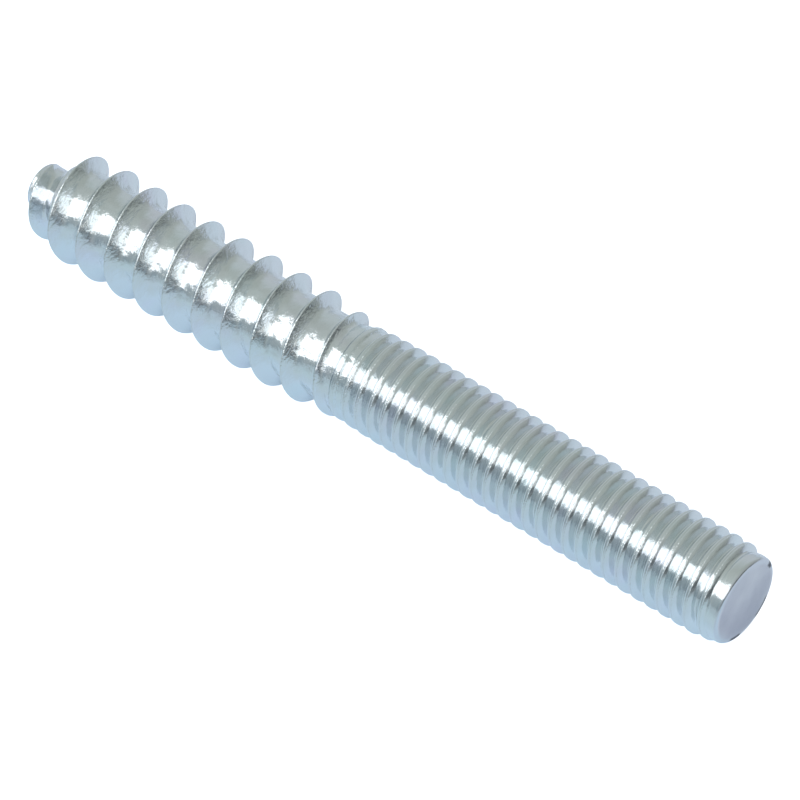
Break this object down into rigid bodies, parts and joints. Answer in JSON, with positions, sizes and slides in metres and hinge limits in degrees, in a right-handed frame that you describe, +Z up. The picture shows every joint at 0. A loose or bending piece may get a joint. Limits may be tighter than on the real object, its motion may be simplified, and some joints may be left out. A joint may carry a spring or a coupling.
{
  "type": "hanger bolt",
  "caption": "Bright zinc-plated steel hanger bolt: a coarse wood thread with a blunt tip on one half, a fine machine thread with a flat end on the other.",
  "frame": {"origin": "on the bolt's axis, in the plane where the machine thread reaches its full depth, midway between the two ends", "axes": "+X along the bolt's axis towards the flat machine end, +Z up, +Y level across the bolt"},
  "size_m": [0.07, 0.009, 0.009],
  "materials": {
    "bolt": "bright zinc plating over rolled threads"
  },
  "bodies": {
    "root": {"hanger_bolt": "bolt"}
  },
  "joints": []
}
